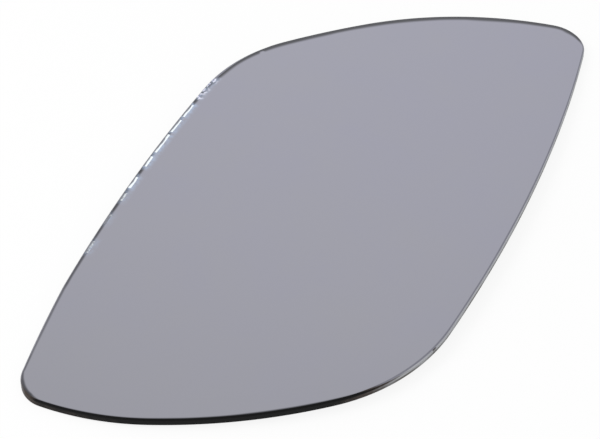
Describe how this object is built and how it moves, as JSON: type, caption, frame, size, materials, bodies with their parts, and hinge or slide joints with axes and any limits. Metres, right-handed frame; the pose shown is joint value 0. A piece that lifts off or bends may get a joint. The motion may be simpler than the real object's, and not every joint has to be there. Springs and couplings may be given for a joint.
{
  "type": "car door mirror glass",
  "caption": "Convex glass pane for a car door mirror, four-cornered with bowed sides and two pointed tips, mirror coated on its back, with a ground edge.",
  "frame": {"origin": "on the surface the pane lies on, under the middle of its outline's box", "axes": "+X along the two long flanks, +Y up the glass as it hangs on the door, +Z out of the reflecting face"},
  "size_m": [0.1832, 0.0998, 0.0057],
  "materials": {
    "mirror_glass": "clear float glass, chromium mirror coat on the back, ground edge"
  },
  "bodies": {
    "root": {"mirror_glass": "mirror_glass"}
  },
  "joints": []
}
